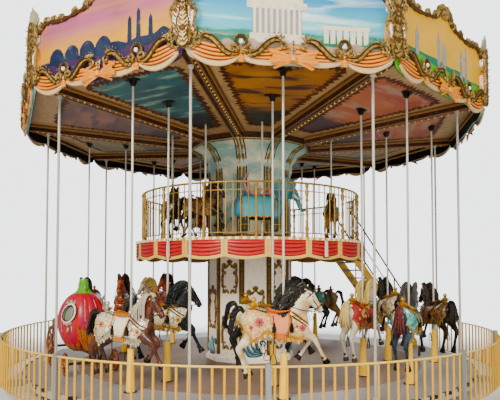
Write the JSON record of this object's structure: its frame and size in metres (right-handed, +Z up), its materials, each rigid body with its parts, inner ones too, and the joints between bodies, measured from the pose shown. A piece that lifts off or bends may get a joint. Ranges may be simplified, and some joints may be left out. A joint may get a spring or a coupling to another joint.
{
  "type": "double-deck fairground carousel",
  "caption": "Turning double-deck carousel with leaping horses on sliding poles, a fruit coach, painted rounding boards, a radial stair and a curved fence.",
  "frame": {"origin": "on the ground at the mast's axis, in the middle of the ground frame", "axes": "+Z up along the mast; -Y out through the middle of bay 0, where riders travel towards +X"},
  "size_m": [10.4418, 10.4746, 8.36],
  "materials": {
    "galvanised_steel": "dull galvanised steel",
    "yellow_enamel": "glossy yellow enamel, worn at the edges",
    "deck_plate": "brown painted boards inside, grey chequer plate outside",
    "cream_casing": "cream fibreglass panels with old-gold mouldings",
    "painted_timber": "dark brown painted timber",
    "painted_panels": "painted panels with tan borders",
    "red_valance": "moulded red drapery with cream scallops",
    "sky_casing": "painted sky panels with old-gold strips",
    "gilt_boards": "painted boards in gilt mouldings",
    "roof_skin": "cream painted sheet",
    "gilt": "gold paint",
    "light_horse": "painted fibreglass, white and cream, on a steel pole",
    "dark_horse": "painted fibreglass, dark brown and black, on a steel pole",
    "blue_figure": "painted fibreglass, turquoise",
    "coach_red": "painted fibreglass, crimson with gold and green"
  },
  "bodies": {
    "ground_frame": {"ground_frame": "galvanised_steel", "fence_panel_01": "yellow_enamel", "fence_panel_02": "yellow_enamel", "fence_panel_03": "yellow_enamel", "fence_panel_04": "yellow_enamel", "fence_panel_05": "yellow_enamel", "fence_panel_06": "yellow_enamel"},
    "carousel": {"lower_column": "cream_casing", "upper_deck": "gilt", "deck_valance": "red_valance", "deck_railing": "yellow_enamel", "upper_column": "sky_casing", "sweeps": "painted_timber", "ceiling": "painted_panels", "roof_cover": "roof_skin", "roof_crown": "gilt", "stair": "yellow_enamel", "elephant": "blue_figure", "coach": "coach_red", "platform_section_00": "deck_plate", "rounding_board_00": "gilt_boards", "platform_section_01": "deck_plate", "rounding_board_01": "gilt_boards", "platform_section_02": "deck_plate", "rounding_board_02": "gilt_boards", "platform_section_03": "deck_plate", "rounding_board_03": "gilt_boards", "platform_section_04": "deck_plate", "rounding_board_04": "gilt_boards", "platform_section_05": "deck_plate", "rounding_board_05": "gilt_boards", "platform_section_06": "deck_plate", "rounding_board_06": "gilt_boards", "platform_section_07": "deck_plate", "rounding_board_07": "gilt_boards", "platform_section_08": "deck_plate", "rounding_board_08": "gilt_boards", "platform_section_09": "deck_plate", "rounding_board_09": "gilt_boards", "upper_horse_02": "dark_horse", "upper_horse_06": "dark_horse", "upper_horse_08": "dark_horse", "upper_horse_09": "dark_horse"},
    "outer_horse_00": {"outer_horse_00": "light_horse"},
    "outer_horse_01": {"outer_horse_01": "light_horse"},
    "outer_horse_02": {"outer_horse_02": "dark_horse"},
    "outer_horse_04": {"outer_horse_04": "dark_horse"},
    "outer_horse_05": {"outer_horse_05": "light_horse"},
    "outer_horse_06": {"outer_horse_06": "light_horse"},
    "outer_horse_07": {"outer_horse_07": "dark_horse"},
    "outer_horse_09": {"outer_horse_09": "light_horse"},
    "inner_horse_00": {"inner_horse_00": "dark_horse"},
    "inner_horse_01": {"inner_horse_01": "light_horse"},
    "inner_horse_02": {"inner_horse_02": "dark_horse"},
    "inner_horse_04": {"inner_horse_04": "dark_horse"},
    "inner_horse_05": {"inner_horse_05": "light_horse"},
    "inner_horse_06": {"inner_horse_06": "dark_horse"},
    "inner_horse_07": {"inner_horse_07": "light_horse"},
    "inner_horse_09": {"inner_horse_09": "dark_horse"}
  },
  "joints": [
    {"name": "carousel_spin", "type": "hinge", "parent": "ground_frame", "child": "carousel", "pos_m": [0, 0, 0], "axis": [0, 0, 1], "continuous": true},
    {"name": "outer_horse_00_lift", "type": "slide", "parent": "carousel", "child": "outer_horse_00", "axis": [0, 0, 1], "range_m": [-0.17, 0.23]},
    {"name": "outer_horse_01_lift", "type": "slide", "parent": "carousel", "child": "outer_horse_01", "axis": [0, 0, 1], "range_m": [-0.135, 0.265]},
    {"name": "outer_horse_02_lift", "type": "slide", "parent": "carousel", "child": "outer_horse_02", "axis": [0, 0, 1], "range_m": [-0.1, 0.3]},
    {"name": "outer_horse_04_lift", "type": "slide", "parent": "carousel", "child": "outer_horse_04", "axis": [0, 0, 1], "range_m": [-0.13, 0.27]},
    {"name": "outer_horse_05_lift", "type": "slide", "parent": "carousel", "child": "outer_horse_05", "axis": [0, 0, 1], "range_m": [-0.18, 0.22]},
    {"name": "outer_horse_06_lift", "type": "slide", "parent": "carousel", "child": "outer_horse_06", "axis": [0, 0, 1], "range_m": [-0.15, 0.25]},
    {"name": "outer_horse_07_lift", "type": "slide", "parent": "carousel", "child": "outer_horse_07", "axis": [0, 0, 1], "range_m": [-0.2, 0.2]},
    {"name": "outer_horse_09_lift", "type": "slide", "parent": "carousel", "child": "outer_horse_09", "axis": [0, 0, 1], "range_m": [-0.07, 0.33]},
    {"name": "inner_horse_00_lift", "type": "slide", "parent": "carousel", "child": "inner_horse_00", "axis": [0, 0, 1], "range_m": [-0.19, 0.21]},
    {"name": "inner_horse_01_lift", "type": "slide", "parent": "carousel", "child": "inner_horse_01", "axis": [0, 0, 1], "range_m": [-0.165, 0.235]},
    {"name": "inner_horse_02_lift", "type": "slide", "parent": "carousel", "child": "inner_horse_02", "axis": [0, 0, 1], "range_m": [-0.22, 0.18]},
    {"name": "inner_horse_04_lift", "type": "slide", "parent": "carousel", "child": "inner_horse_04", "axis": [0, 0, 1], "range_m": [-0.18, 0.22]},
    {"name": "inner_horse_05_lift", "type": "slide", "parent": "carousel", "child": "inner_horse_05", "axis": [0, 0, 1], "range_m": [-0.2, 0.2]},
    {"name": "inner_horse_06_lift", "type": "slide", "parent": "carousel", "child": "inner_horse_06", "axis": [0, 0, 1], "range_m": [-0.29, 0.11]},
    {"name": "inner_horse_07_lift", "type": "slide", "parent": "carousel", "child": "inner_horse_07", "axis": [0, 0, 1], "range_m": [-0.29, 0.11]},
    {"name": "inner_horse_09_lift", "type": "slide", "parent": "carousel", "child": "inner_horse_09", "axis": [0, 0, 1], "range_m": [-0.18, 0.22]}
  ]
}
